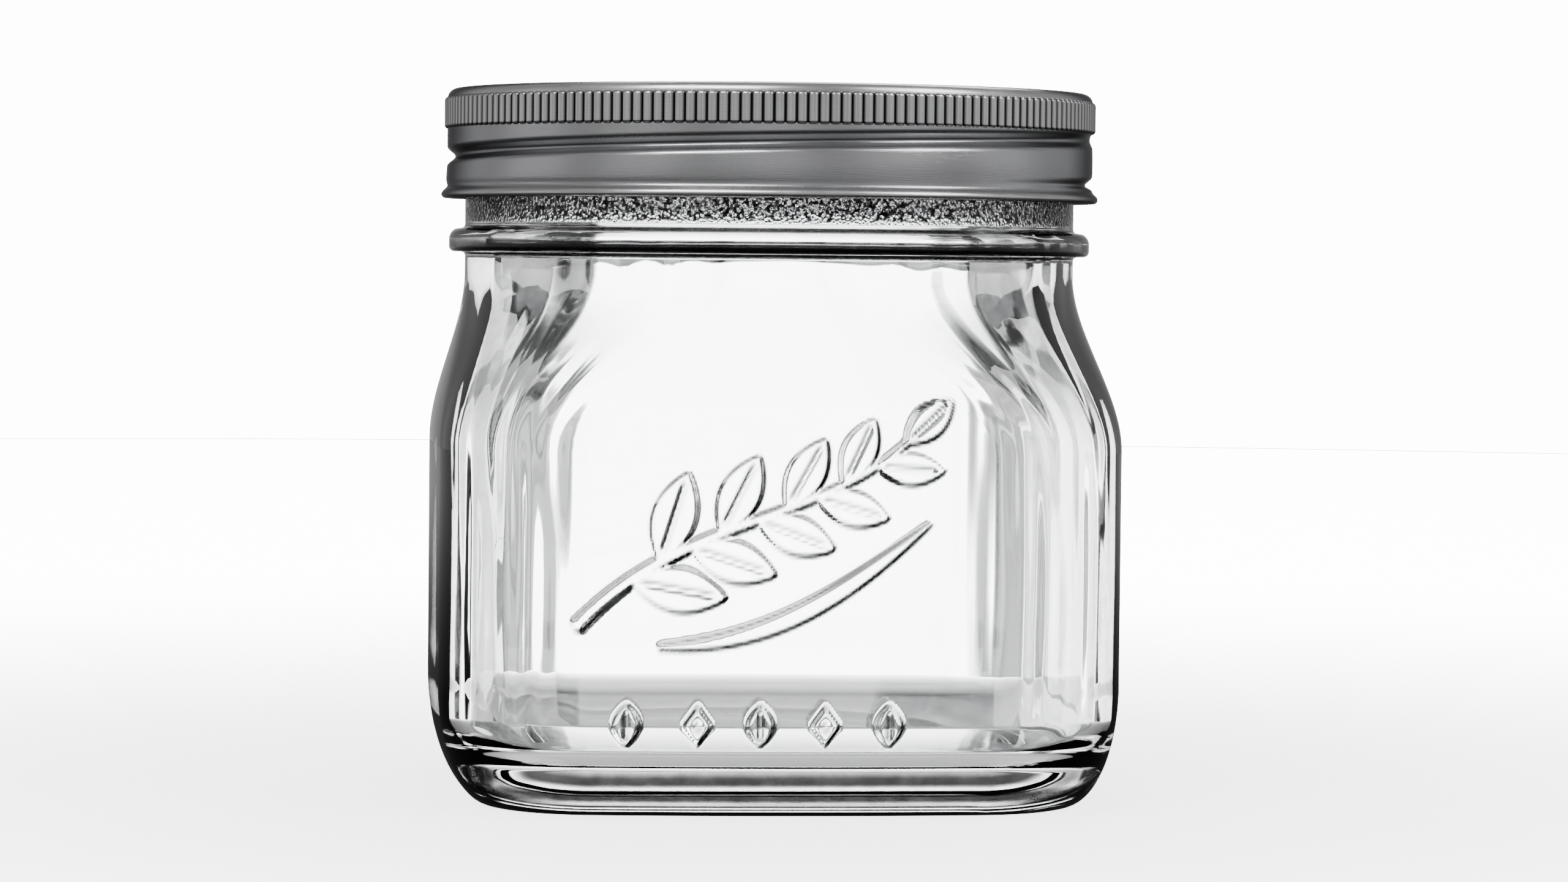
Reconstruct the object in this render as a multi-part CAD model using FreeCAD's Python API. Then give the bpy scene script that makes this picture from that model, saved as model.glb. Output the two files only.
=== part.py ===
import FreeCAD, Part
import math
import os

# A canning jar with a two-piece closure: a moulded glass jar, a flat stamped
# lid with its bonded sealing ring, and a threaded screw band. Millimetres,
# Z up, the jar standing on z = 0 and centred on the Z axis.

# Glass body: a rounded square with slightly bowed sides
BODY_HALF = 46.6            # centre line to the middle of a side
BODY_CORNER = 21.0          # corner radius seen from above
BODY_BOW = 5.0              # half the angle that a bowed side turns through, degrees
BODY_HEIGHT = 70.5          # height at which the shoulder has become the round neck
SHOULDER_HEIGHT = 23.0
GLASS_WALL = 3.7
FLOOR_THICKNESS = 7.0
HEEL_RISE = 16.0            # height over which the outside heel curves in
HEEL_INSET = 7.0            # how far it curves in
FLOOR_RISE = 8.0            # the same pair inside the jar
FLOOR_INSET = 6.5
HEEL_STEPS = 8              # sections used around each heel
SECTION_GAP = 2.5           # height between the sections above it

# Push-up under the base
FOOT_LAND = 4.0             # width of the ring that the jar stands on
PUSH_UP = 1.6
PUSH_UP_SLOPE = 5.0

# Glass neck
NECK_RADIUS = 41.9
BEAD_GAP = 2.7              # shoulder to the underside of the transfer bead
BEAD_STAND = 2.2            # how far the bead stands out from the neck
BEAD_HEIGHT = 3.4
BEAD_ROUND = 1.2
LIP_ROUND = 0.9

# Screw thread, one start, right hand
PITCH = 6.35
GLASS_THREAD_HEIGHT = 1.7
GLASS_THREAD_WIDTH = 3.2
GLASS_THREAD_DROP = 3.4     # lip down to the centre of the ridge where it starts
GLASS_THREAD_TURNS = 1.2
GLASS_THREAD_START = -45.0  # angle of the upper end about the axis, degrees
BAND_THREAD_DEPTH = 1.2
BAND_THREAD_WIDTH = 2.5
BAND_THREAD_AHEAD = 60.0    # how far the rolled thread runs on past the glass thread's upper end
BAND_THREAD_TURNS = 1.2
THREAD_FADE = 55.0          # angle over which each end of a thread runs out
RIDGE_TURN = 10.0           # angle between sections of the glass thread
SKIRT_TURN = 15.0           # the same for the band's skirt
THREAD_ROOT = 1.2           # depth of the block that the glass thread stands on
THREAD_SINK = 0.08          # how far each faded end sinks into the wall

# Screw band
SHEET = 0.3
LAP = 0.05                  # how far the upper part wraps each side of the skirt's sheet
COLLAR = 0.6                # plain ring between the skirt and the flutes
BAND_GAP = 3.9              # top of the transfer bead to the foot of the band
BAND_HEIGHT = 15.0
BAND_LEDGE = 7.5            # width of the band's flat top
BAND_SHOULDER = 1.3         # outer corner radius
FLARE = 0.8                 # how far the foot stands out
FLARE_HEIGHT = 1.2
CURL_RADIUS = 0.55
SKIRT_STEPS = 28            # points up the skirt of each section
SKIRT_EASE = 0.8            # height over which the thread dies out at the skirt's ends
HEM_DROP = 0.5              # turned-down edge of the top opening
KNURL_COUNT = 192
KNURL_STAND = 0.4           # crests above the plain skirt
KNURL_DEPTH = 0.3
KNURL_DROP = 1.3            # top of the band down to the flutes
KNURL_HEIGHT = 3.9

# Lid and sealing ring
LID_SHEET = 0.25
LID_SKIRT = 1.3             # height of the turned-down rim
LID_DROP = 0.9              # panel below the channel at the rim
LID_STEP_INSET = 4.2        # channel to the stamped ring in the panel
LID_STEP = 0.35
LID_BUTTON_RADIUS = 15.0    # raised centre
LID_BUTTON_SLOPE = 6.0
LID_BUTTON = 0.6
LID_BEND = 0.45
SEAL_WIDTH = 3.1
SEAL_HEIGHT = 0.8

# Fits
TOUCH = 0.02                # gap where two pieces rest on each other
CREST_GAP = 0.5             # glass thread to the inside of the band
FLANK_OFFSET = 2.0          # glass ridge above the band's ridge, so that the flanks nearly meet
LID_PASS = 0.25             # lid to the band's thread, so that it drops in from below
LID_SEAT = 0.3              # lid's channel to the mouth of the jar
SEAL_SIDE = 0.15            # sealing ring to the wall of the lid's channel

# Heights and radii that follow from the sizes above
BEAD_FOOT = BODY_HEIGHT + BEAD_GAP
BEAD_TOP = BEAD_FOOT + BEAD_HEIGHT
BAND_FOOT = BEAD_TOP + BAND_GAP
BAND_TOP = BAND_FOOT + BAND_HEIGHT
CUP_SHEET = SHEET + 2 * LAP
CUP_FOOT = BAND_TOP - KNURL_DROP - KNURL_HEIGHT - COLLAR
LID_TOP = BAND_TOP - CUP_SHEET - TOUCH
SEAL_TOP = LID_TOP - LID_SHEET
SEAL_FOOT = SEAL_TOP - SEAL_HEIGHT
LIP_Z = SEAL_FOOT - TOUCH
MOUTH_RADIUS = NECK_RADIUS - GLASS_WALL
BAND_RADIUS = NECK_RADIUS + GLASS_THREAD_HEIGHT + CREST_GAP + SHEET
LID_RADIUS = BAND_RADIUS - BAND_THREAD_DEPTH - SHEET - LID_PASS
GLASS_THREAD_TOP = LIP_Z - GLASS_THREAD_DROP
Z_AXIS = FreeCAD.Vector(0, 0, 1)
ORIGIN = FreeCAD.Vector(0, 0, 0)


def polar(radius, angle, z):
    """A point at a radius and an angle in degrees about the Z axis."""
    turn = math.radians(angle)
    return FreeCAD.Vector(radius * math.cos(turn), radius * math.sin(turn), z)


def smooth(share):
    """A soft step from 0 to 1."""
    held = min(max(share, 0.0), 1.0)
    return held * held * (3.0 - 2.0 * held)


def steps(count):
    """Shares from 0 to 1 in equal steps."""
    return [index / count for index in range(count + 1)]


def arc(centre, radius, start, end, z):
    """A level arc about a centre, from one angle to another in degrees."""
    points = [centre + polar(radius, angle, z) for angle in (start, (start + end) / 2, end)]
    return Part.Arc(*points).toShape()


def rounded_square(half, corner, z):
    """Four bowed sides joined by tangent corner arcs; a circle when half equals corner."""
    bow = math.radians(BODY_BOW)
    keep = math.cos(bow) - math.sin(bow)
    side = (half - keep * corner) / (1.0 - keep)
    corner_out = (side - corner) * math.sin(bow) * math.sqrt(2.0)
    edges = []
    for quarter in range(4):
        face = 90.0 * quarter
        edges.append(arc(polar(half - side, face, 0), side, face - BODY_BOW, face + BODY_BOW, z))
        diagonal = face + 45.0
        reach = 45.0 - BODY_BOW
        edges.append(arc(polar(corner_out, diagonal, 0), corner, diagonal - reach, diagonal + reach, z))
    return Part.Wire(edges)


def body_section(z, inset):
    """The jar's outline at a height, moved in by an amount."""
    turn = smooth((z - BODY_HEIGHT) / SHOULDER_HEIGHT + 1.0)
    half = BODY_HALF + (NECK_RADIUS - BODY_HALF) * turn
    corner = BODY_CORNER + (NECK_RADIUS - BODY_CORNER) * turn
    return rounded_square(half - inset, corner - inset, z)


def bowl(foot, rise, inset, wall, top):
    """A jar-shaped solid: curved heel, straight sides, shoulder and round neck."""
    sections = []
    for share in steps(HEEL_STEPS):
        angle = share * math.pi / 2
        height = foot + rise * (1.0 - math.cos(angle))
        sections.append(body_section(height, wall + inset * (1.0 - math.sin(angle))))
    straight = foot + rise
    shoulder = BODY_HEIGHT - SHOULDER_HEIGHT
    for low, high in ((straight, shoulder), (shoulder, BODY_HEIGHT), (BODY_HEIGHT, top)):
        count = round((high - low) / SECTION_GAP) + 1
        sections += [body_section(low + (high - low) * share, wall) for share in steps(count)[1:]]
    return Part.makeLoft(sections, True, False)


def under_base():
    """What is cut away below the jar: everything under z = 0, and the shallow push-up."""
    land = HEEL_INSET + FOOT_LAND
    level = rounded_square(BODY_HALF - land, BODY_CORNER - land, 0)
    crown = rounded_square(BODY_HALF - land - PUSH_UP_SLOPE, BODY_CORNER - land - PUSH_UP_SLOPE, PUSH_UP)
    ground = Part.makeCylinder(2 * BODY_HALF, HEEL_INSET, ORIGIN - Z_AXIS * HEEL_INSET)
    return ground.fuse(Part.makeLoft([level, crown], True, True))


def filleted(points, radii):
    """An open wire through (r, z) points, each inner corner rounded to its own radius."""
    corners = [FreeCAD.Vector(r, 0, z) for r, z in points]
    edges = []
    start = corners[0]
    for before, here, after, radius in zip(corners, corners[1:], corners[2:], radii):
        back = (before - here).normalize()
        ahead = (after - here).normalize()
        half = back.getAngle(ahead) / 2
        entry = here + back * (radius / math.tan(half))
        leave = here + ahead * (radius / math.tan(half))
        middle = here + (back + ahead).normalize() * (radius / math.sin(half) - radius)
        edges.append(Part.makeLine(start, entry))
        edges.append(Part.Arc(entry, middle, leave).toShape())
        start = leave
    edges.append(Part.makeLine(start, corners[-1]))
    return Part.Wire(edges)


def turned(points):
    """A closed outline of (r, z) points turned about the Z axis."""
    corners = [FreeCAD.Vector(r, 0, z) for r, z in points]
    return Part.Face(Part.makePolygon(corners + corners[:1])).revolve(ORIGIN, Z_AXIS, 360)


def sheet(points, bends, thickness):
    """A thin turned sheet: a rounded wire through (r, z) points, thickened inwards."""
    return filleted(points, bends).makeOffset2D(thickness, 0, True, True).revolve(ORIGIN, Z_AXIS, 360)


def thread_fade(along, turns):
    """How full a thread is at an angle along it: 0 at its ends, 1 between them."""
    return smooth(min(along, 360.0 * turns - along) / THREAD_FADE)


def thread_section(angle, z, root, height):
    """One section of the glass thread: a rounded hump on a square root."""
    half = GLASS_THREAD_WIDTH / 2
    pole = root + height * 4.0 / 3.0    # puts the hump's middle at the full height
    back = root - THREAD_ROOT
    hump = Part.BezierCurve()
    hump.setPoles([polar(root, angle, z - half), polar(pole, angle, z - half / 2),
                   polar(pole, angle, z + half / 2), polar(root, angle, z + half)])
    block = Part.makePolygon([polar(root, angle, z + half), polar(back, angle, z + half),
                              polar(back, angle, z - half), polar(root, angle, z - half)])
    return Part.Wire([hump.toShape()] + block.Edges)


def glass_thread():
    """The helical ridge on the neck, running down from its start and fading at both ends."""
    sweep = 360.0 * GLASS_THREAD_TURNS
    sections = []
    for share in steps(round(sweep / RIDGE_TURN)):
        along = share * sweep
        fade = thread_fade(along, GLASS_THREAD_TURNS)
        root = NECK_RADIUS - TOUCH - THREAD_SINK * (1.0 - fade)
        z = GLASS_THREAD_TOP - PITCH * along / 360.0
        sections.append(thread_section(GLASS_THREAD_START - along, z, root, GLASS_THREAD_HEIGHT * fade))
    return Part.makeLoft(sections, True, False)


def glass_jar():
    """The jar: lofted body, turned neck with bead and lip, thread, and the hollow inside."""
    body = bowl(0, HEEL_RISE, HEEL_INSET, 0, (BEAD_FOOT + BEAD_TOP) / 2)
    bead = NECK_RADIUS + BEAD_STAND
    neck = turned([
        (0, BEAD_FOOT), (bead - BEAD_ROUND, BEAD_FOOT), (bead, BEAD_FOOT + BEAD_ROUND),
        (bead, BEAD_TOP - BEAD_ROUND), (NECK_RADIUS, BEAD_TOP), (NECK_RADIUS, LIP_Z - LIP_ROUND),
        (NECK_RADIUS - LIP_ROUND, LIP_Z), (0, LIP_Z)])
    hollow = bowl(FLOOR_THICKNESS, FLOOR_RISE, FLOOR_INSET, GLASS_WALL, LIP_Z + LIP_ROUND)
    lead_in = turned([(0, LIP_Z - LIP_ROUND), (MOUTH_RADIUS - TOUCH, LIP_Z - LIP_ROUND),
                      (MOUTH_RADIUS + LIP_ROUND, LIP_Z + TOUCH), (0, LIP_Z + TOUCH)])
    return body.cut(under_base()).fuse(neck).cut(hollow).cut(lead_in).fuse(glass_thread())


def lid_disc():
    """The stamped lid: turned-down rim, raised channel, stepped panel, raised centre."""
    panel = LID_TOP - LID_DROP
    slope = 2 * LID_BEND
    channel = MOUTH_RADIUS - LID_SEAT
    step = channel - LID_STEP_INSET
    crown = panel + LID_STEP + LID_BUTTON
    outline = [
        (LID_RADIUS, LID_TOP - LID_SKIRT), (LID_RADIUS, LID_TOP), (channel, LID_TOP),
        (channel - slope, panel), (step, panel), (step - slope, panel + LID_STEP),
        (LID_BUTTON_RADIUS, panel + LID_STEP), (LID_BUTTON_RADIUS - LID_BUTTON_SLOPE, crown),
        (0, crown)]
    return sheet(outline, [LID_BEND] * len(outline), LID_SHEET)


def sealing_ring():
    """The ring of sealing compound bonded in the lid's channel."""
    outer = LID_RADIUS - LID_SHEET - SEAL_SIDE
    inner = outer - SEAL_WIDTH
    return turned([(inner, SEAL_FOOT), (outer, SEAL_FOOT), (outer, SEAL_TOP - LID_BEND),
                   (outer - LID_BEND, SEAL_TOP), (inner, SEAL_TOP)])


def knurl_ring():
    """A ring of fine upright flutes."""
    step = 360.0 / KNURL_COUNT
    crest = BAND_RADIUS + KNURL_STAND
    foot = CUP_FOOT + COLLAR
    flutes = []
    for index in range(KNURL_COUNT):
        low = polar(crest, step * index, foot)
        dip = polar(crest - KNURL_DEPTH, step * (index + 0.5), foot)
        high = polar(crest, step * (index + 1), foot)
        flutes.append(Part.Arc(low, dip, high).toShape())
    fluted = Part.Face(Part.Wire(flutes)).extrude(Z_AXIS * KNURL_HEIGHT)
    return fluted.cut(Part.makeCylinder(BAND_RADIUS, KNURL_HEIGHT, ORIGIN + Z_AXIS * foot))


def cup():
    """The upper part of the band: the plain wall behind the flutes, and the ledge over the lid."""
    wall = BAND_RADIUS + LAP
    opening = BAND_RADIUS - BAND_LEDGE
    return sheet([(wall, CUP_FOOT), (wall, BAND_TOP), (opening, BAND_TOP),
                  (opening, BAND_TOP - CUP_SHEET - HEM_DROP)], [BAND_SHOULDER, HEM_DROP], CUP_SHEET)


def thread_depth(angle, z, spread):
    """How far the rolled thread presses the skirt in at an angle and a height."""
    start = GLASS_THREAD_START + BAND_THREAD_AHEAD
    top = GLASS_THREAD_TOP - FLANK_OFFSET + PITCH * BAND_THREAD_AHEAD / 360.0
    half = BAND_THREAD_WIDTH / 2 + spread
    depth = 0.0
    for turn in range(math.ceil(BAND_THREAD_TURNS) + 1):
        along = start - angle + 360.0 * turn
        away = (z - top + PITCH * along / 360.0) / half
        if abs(away) < 1.0:
            hump = math.cos(away * math.pi / 2) ** 2
            depth = max(depth, BAND_THREAD_DEPTH * hump * thread_fade(along, BAND_THREAD_TURNS))
    return depth


def skirt(radius, angle, low, spread):
    """The upright curve of the skirt at an angle, with the rolled thread pressed into it."""
    high = CUP_FOOT + COLLAR / 2
    points = []
    for share in steps(SKIRT_STEPS):
        z = low + (high - low) * share
        clear = smooth(min(z - low, high - z) / SKIRT_EASE)
        points.append(polar(radius - clear * thread_depth(angle, z, spread), angle, z))
    curve = Part.BSplineCurve()
    curve.interpolate(points)
    return curve.toShape(), points


def skirt_section(angle):
    """The closed outline of the skirt's sheet at one angle, with its rolled foot."""
    foot = BAND_FOOT + CURL_RADIUS
    curl = BAND_RADIUS + FLARE - CURL_RADIUS
    outside, outer = skirt(BAND_RADIUS, angle, foot + FLARE_HEIGHT, 0)
    inside, inner = skirt(BAND_RADIUS - SHEET, angle, foot + FLARE_HEIGHT, SHEET / 2)
    near = polar(curl - CURL_RADIUS, angle, foot)
    far = polar(curl + CURL_RADIUS, angle, foot)
    return Part.Wire([
        outside, Part.makeLine(outer[-1], inner[-1]), inside, Part.makeLine(inner[0], near),
        Part.Arc(near, polar(curl, angle, BAND_FOOT), far).toShape(), Part.makeLine(far, outer[0])])


def screw_band():
    """The band: a turned and fluted upper part over a skirt lofted with its thread rolled in."""
    turns = steps(round(360.0 / SKIRT_TURN))[:-1]
    skirt_wall = Part.makeLoft([skirt_section(360.0 * share) for share in turns], True, False, True)
    return cup().fuse(knurl_ring()).fuse(skirt_wall)


def main():
    os.makedirs("parts", exist_ok=True)
    for make in (glass_jar, lid_disc, sealing_ring, screw_band):
        make().Solids[0].exportStep("parts/" + make.__name__ + ".step")


main()
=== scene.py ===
"""Looks of a canning jar with a stamped lid, a sealing ring and a knurled screw band.

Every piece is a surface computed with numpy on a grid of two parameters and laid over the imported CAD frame.
Lengths are metres and angles are radians, except inside the relief, which is drawn in millimetres.
"""

import math

import bpy
import numpy as np
from bpy.props import FloatProperty, FloatVectorProperty, IntProperty, PointerProperty
from mathutils import Matrix, Vector


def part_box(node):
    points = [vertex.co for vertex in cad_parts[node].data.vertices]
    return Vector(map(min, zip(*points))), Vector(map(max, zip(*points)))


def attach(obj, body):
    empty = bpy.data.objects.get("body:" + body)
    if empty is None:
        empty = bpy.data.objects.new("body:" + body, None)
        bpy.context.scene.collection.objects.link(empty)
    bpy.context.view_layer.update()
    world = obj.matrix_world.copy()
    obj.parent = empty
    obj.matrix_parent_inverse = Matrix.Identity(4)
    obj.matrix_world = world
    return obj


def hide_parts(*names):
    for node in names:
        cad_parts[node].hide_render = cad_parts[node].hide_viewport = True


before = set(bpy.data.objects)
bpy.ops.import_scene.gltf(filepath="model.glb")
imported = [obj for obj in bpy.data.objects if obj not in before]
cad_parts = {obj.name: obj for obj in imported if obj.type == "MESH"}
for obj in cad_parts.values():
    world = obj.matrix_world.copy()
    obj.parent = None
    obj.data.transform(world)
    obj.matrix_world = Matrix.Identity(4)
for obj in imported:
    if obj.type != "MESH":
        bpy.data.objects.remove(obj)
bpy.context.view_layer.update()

bl_info = {
    "name": "Canning Jar Builder",
    "version": (1, 0, 0),
    "blender": (4, 5, 0),
    "location": "View3D > Sidebar > Canning Jar",
    "description": "Builds a glass canning jar with its lid, sealing ring and screw band over a packed frame",
    "category": "Object",
}

MM = 0.001
TURN = 2.0 * math.pi
BAND_COLUMNS = 420
FLUTE_COLUMNS = 12
LID_COLUMNS = 256
ROOM_COLUMNS = 96
SURROUND_COLUMNS = 192


def length(label, value, text):
    """A length property in metres, given here in millimetres."""
    return FloatProperty(name=label, description=text, default=value * MM, unit="LENGTH", precision=5)


def angle(label, value, text):
    """An angle property, given here in degrees."""
    return FloatProperty(name=label, description=text, default=math.radians(value), subtype="ANGLE")


def tint(label, red, green, blue, text):
    """An opaque colour property."""
    return FloatVectorProperty(name=label, description=text, default=(red, green, blue, 1.0), size=4,
                               min=0.0, max=1.0, subtype="COLOR")


class GlassSizes(bpy.types.PropertyGroup):
    """Sizes of the moulded jar that its CAD box doesn't give."""

    corner: length("Corner radius", 21.0, "Corner radius of the body seen from above")
    bow: angle("Side bow", 5.0, "Half the angle that a bowed side turns through")
    body_height: length("Body height", 70.5, "Height at which the shoulder has become the round neck")
    shoulder: length("Shoulder", 23.0, "Height over which the body turns round")
    neck: length("Neck radius", 41.9, "Outside radius of the neck")
    wall: length("Wall", 3.7, "Thickness of the glass")
    floor: length("Floor", 7.0, "Thickness of the base")
    heel_rise: length("Heel rise", 16.0, "Height over which the outside heel curves in")
    heel_inset: length("Heel inset", 7.0, "How far the outside heel curves in")
    floor_rise: length("Inner heel rise", 5.5, "Height over which the inside heel curves in")
    floor_inset: length("Inner heel inset", 5.5, "How far the inside heel curves in")
    land: length("Foot land", 4.0, "Width of the ring that the jar stands on")
    push_up: length("Push-up", 1.6, "Height of the hollow under the base")
    push_slope: length("Push-up slope", 5.0, "Width of the slope around the push-up")
    bead_foot: length("Bead foot", 73.2, "Height of the underside of the transfer bead")
    bead_height: length("Bead height", 3.4, "Height of the transfer bead")
    bead_stand: length("Bead stand", 2.2, "How far the transfer bead stands out")
    lip_round: length("Lip rounding", 0.9, "Radius of the edges of the lip")
    relief: length("Relief", 0.65, "Height of the embossed sprig and marks")
    ripple: length("Ripple", 0.07, "Height of the slow waves on the inside wall")
    streak: length("Corner streaks", 0.05, "Height of the upright waves inside the corners")
    strip_top: length("Pebbled strip", 6.8, "Height of the pebbled strip above the transfer bead")
    clear: tint("Glass colour", 0.972, 0.982, 0.988, "Tint of the clear glass")


class ThreadSizes(bpy.types.PropertyGroup):
    """The one-start right-hand thread that the jar and the band share."""

    pitch: length("Pitch", 6.35, "Rise of the thread in one turn")
    drop: length("Drop", 3.4, "Lip down to the middle of the glass ridge where it starts")
    start: angle("Start", -45.0, "Angle of the upper end of the glass ridge about the axis")
    turns: FloatProperty(name="Turns", description="Turns of the glass ridge", default=1.2)
    height: length("Ridge height", 1.7, "Height of the glass ridge")
    width: length("Ridge width", 3.2, "Width of the glass ridge")
    fade: angle("Fade", 55.0, "Angle over which each end of a thread runs out")
    offset: length("Flank offset", 2.0, "Glass ridge above the band's groove")
    ahead: angle("Run ahead", 60.0, "How far the groove runs past the ridge's upper end")
    groove_turns: FloatProperty(name="Groove turns", description="Turns of the rolled groove", default=1.2)
    depth: length("Groove depth", 1.1, "Depth of the groove rolled into the band")
    groove_width: length("Groove width", 2.7, "Width of the groove rolled into the band")
    bulge: length("Bulge", 0.14, "How far the skirt swells between turns of the groove")


class BandSizes(bpy.types.PropertyGroup):
    """Sizes of the screw band and its knurl."""

    sheet: length("Sheet", 0.3, "Thickness of the band's sheet")
    radius: length("Skirt radius", 44.4, "Outside radius of the plain skirt")
    ledge: length("Ledge", 7.5, "Width of the flat top")
    shoulder: length("Shoulder", 1.3, "Outer corner radius")
    flare_height: length("Flare height", 1.2, "Height over which the foot flares out")
    curl: length("Curl", 0.55, "Radius of the rolled foot")
    hem: length("Hem", 0.45, "Radius of the turned-down edge of the opening")
    flutes: IntProperty(name="Flutes", description="Number of upright flutes", default=192, min=12)
    knurl_foot: length("Knurl foot", 90.0, "Height of the lower end of the flutes")
    knurl_top: length("Knurl top", 94.35, "Height of the upper end of the flutes")
    knurl_stand: length("Knurl stand", 0.4, "Crests above the plain skirt")
    knurl_depth: length("Knurl depth", 0.34, "Depth of the valleys between crests")
    clean: tint("Band colour", 0.61, 0.615, 0.63, "Colour of the band's clean metal")
    dull: tint("Smudged band colour", 0.5, 0.505, 0.515, "Colour of the band's metal in a smudge")


class LidSizes(bpy.types.PropertyGroup):
    """Sizes of the stamped lid and its sealing ring."""

    sheet: length("Sheet", 0.25, "Thickness of the lid's sheet")
    bend: length("Bend", 0.45, "Radius of the stamped bends")
    channel: length("Channel", 37.9, "Inner radius of the raised channel at the rim")
    drop: length("Panel drop", 0.9, "Panel below the channel")
    step: length("Step radius", 33.7, "Radius of the stamped ring in the panel")
    rise: length("Step", 0.35, "Height of the stamped ring")
    button: length("Button radius", 15.0, "Radius of the raised centre")
    slope: length("Button slope", 6.0, "Width of the slope around the raised centre")
    crown: length("Button height", 0.6, "Height of the raised centre")
    clean: tint("Lid colour", 0.70, 0.705, 0.715, "Colour of the lid's clean metal")
    dull: tint("Smudged lid colour", 0.6, 0.605, 0.615, "Colour of the lid's metal in a smudge")
    seal: tint("Seal colour", 0.30, 0.31, 0.32, "Colour of the sealing compound")
    seal_dull: tint("Marked seal colour", 0.24, 0.25, 0.26, "Colour of the compound where it is marked")


class StageSizes(bpy.types.PropertyGroup):
    """The camera and the plain surroundings."""

    distance: length("Camera distance", 665.0, "Camera to the jar's axis")
    eye: length("Eye level", 73.5, "Height of the camera")
    azimuth: angle("Azimuth", -4.4, "Camera's turn about the jar from straight in front")
    roll: angle("Roll", 0.56, "Camera's roll")
    pitch: angle("Pitch", -2.245, "Camera's tilt, down when negative")
    yaw: angle("Yaw", -0.2, "Camera's turn to the side")
    focal: FloatProperty(name="Focal length", description="Lens, in millimetres", default=110.5)
    radius: length("Room radius", 1500.0, "Radius of the plain wall")
    height: length("Room height", 1600.0, "Height of the plain wall")
    surround: length("Surround radius", 135.0, "Distance of the soft dark surround from the jar's axis")
    surround_height: length("Surround height", 190.0, "Height of the soft dark surround")
    white: FloatProperty(name="White", description="Brightness of the room where it is seen", default=14.0)
    bounce: FloatProperty(name="Bounce", description="Brightness of the room on the floor", default=0.9)


# ---------------------------------------------------------------- numpy helpers


def smooth(share):
    """A soft step from 0 to 1: three times the square less twice the cube of the held share."""
    held = np.clip(share, 0.0, 1.0)
    return held * held * (3.0 - 2.0 * held)


def hump(away):
    """A bump of height 1 that falls to 0 at one unit either side: the square of a cosine."""
    return np.where(np.abs(away) < 1.0, np.cos(np.clip(away, -1.0, 1.0) * math.pi / 2) ** 2, 0.0)


def spread(low, high, count, last=False):
    """Evenly spaced values from low to high, with or without the last one."""
    return np.linspace(low, high, count, endpoint=last)


def bend_points(centre, radius, start, end, count):
    """Points on an arc in the r, z plane, its angles in degrees."""
    turn = np.radians(np.linspace(start, end, count))
    return np.stack([centre[0] + radius * np.cos(turn), centre[1] + radius * np.sin(turn)], 1)


def along(points):
    """Distance covered up to each point of a path."""
    steps = np.linalg.norm(np.diff(points, axis=0), axis=1)
    return np.concatenate([[0.0], np.cumsum(steps)])


def refine(points, gap):
    """A path resampled so that its points are no further apart than a gap, keeping every corner."""
    pieces = []
    for start, end in zip(points[:-1], points[1:]):
        count = max(1, int(math.ceil(np.linalg.norm(end - start) / gap)))
        share = np.arange(count)[:, None] / count
        pieces.append(start + (end - start) * share)
    pieces.append(points[-1:])
    return np.concatenate(pieces)


def line(start, end, gap):
    """Points from start to end, no further apart than a gap."""
    return refine(np.array([start, end]), gap)


def grid_mesh(name, points, level, columns, poles=None):
    """A mesh from a grid of points that wraps round in its columns.

    Rows join into quads. With poles, the first and last rows close onto one point each; without, the last
    row joins the first. The UV map holds turns about the axis and metres along the profile.
    """
    rows, count = points.shape[:2]
    row, col = np.meshgrid(np.arange(rows if poles is None else rows - 1), np.arange(count), indexing="ij")
    after, beside = (row + 1) % rows, (col + 1) % count
    near, far = row * count, after * count
    quads = np.stack([near + col, near + beside, far + beside, far + col], -1).reshape(-1, 4)
    vertices = points.reshape(-1, 3)
    turn_end = np.where(col + 1 == count, columns[0] + 1.0, np.append(columns, 0.0)[col + 1])
    level_end = np.append(level, level[-1] + (level[1] - level[0]))[row + 1]
    corners = np.stack([np.stack([columns[col], level[row]], -1), np.stack([turn_end, level[row]], -1),
                        np.stack([turn_end, level_end], -1), np.stack([columns[col], level_end], -1)], -2)
    uvs = corners.reshape(-1, 2)
    fans = np.zeros((0, 3), int)
    if poles is not None:
        base = rows * count
        vertices = np.concatenate([vertices, np.asarray(poles, float)])
        ring = np.arange(count)
        nxt = (ring + 1) % count
        last = (rows - 1) * count
        fans = np.concatenate([np.stack([nxt, ring, np.full(count, base)], 1),
                               np.stack([last + ring, last + nxt, np.full(count, base + 1)], 1)])
        ends = np.append(columns[1:], columns[0] + 1.0)
        first = np.stack([ends, np.full(count, level[0]), columns, np.full(count, level[0]),
                          (columns + ends) / 2, np.full(count, level[0])], 1).reshape(-1, 2)
        final = np.stack([columns, np.full(count, level[-1]), ends, np.full(count, level[-1]),
                          (columns + ends) / 2, np.full(count, level[-1])], 1).reshape(-1, 2)
        uvs = np.concatenate([uvs, first, final])
    mesh = bpy.data.meshes.new(name)
    mesh.vertices.add(len(vertices))
    mesh.vertices.foreach_set("co", vertices.astype(np.float32).ravel())
    loops = np.concatenate([quads.ravel(), fans.ravel()])
    mesh.loops.add(len(loops))
    mesh.loops.foreach_set("vertex_index", loops.astype(np.int32))
    starts = np.concatenate([np.arange(len(quads)) * 4, len(quads) * 4 + np.arange(len(fans)) * 3])
    mesh.polygons.add(len(starts))
    mesh.polygons.foreach_set("loop_start", starts.astype(np.int32))
    layer = mesh.uv_layers.new(name="Profile")
    mesh.update(calc_edges=True)
    layer.data.foreach_set("uv", uvs.astype(np.float32).ravel())
    mesh.shade_smooth()
    if mesh.validate():
        raise RuntimeError(f"{name}: the grid gave a broken mesh")
    return mesh


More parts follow.
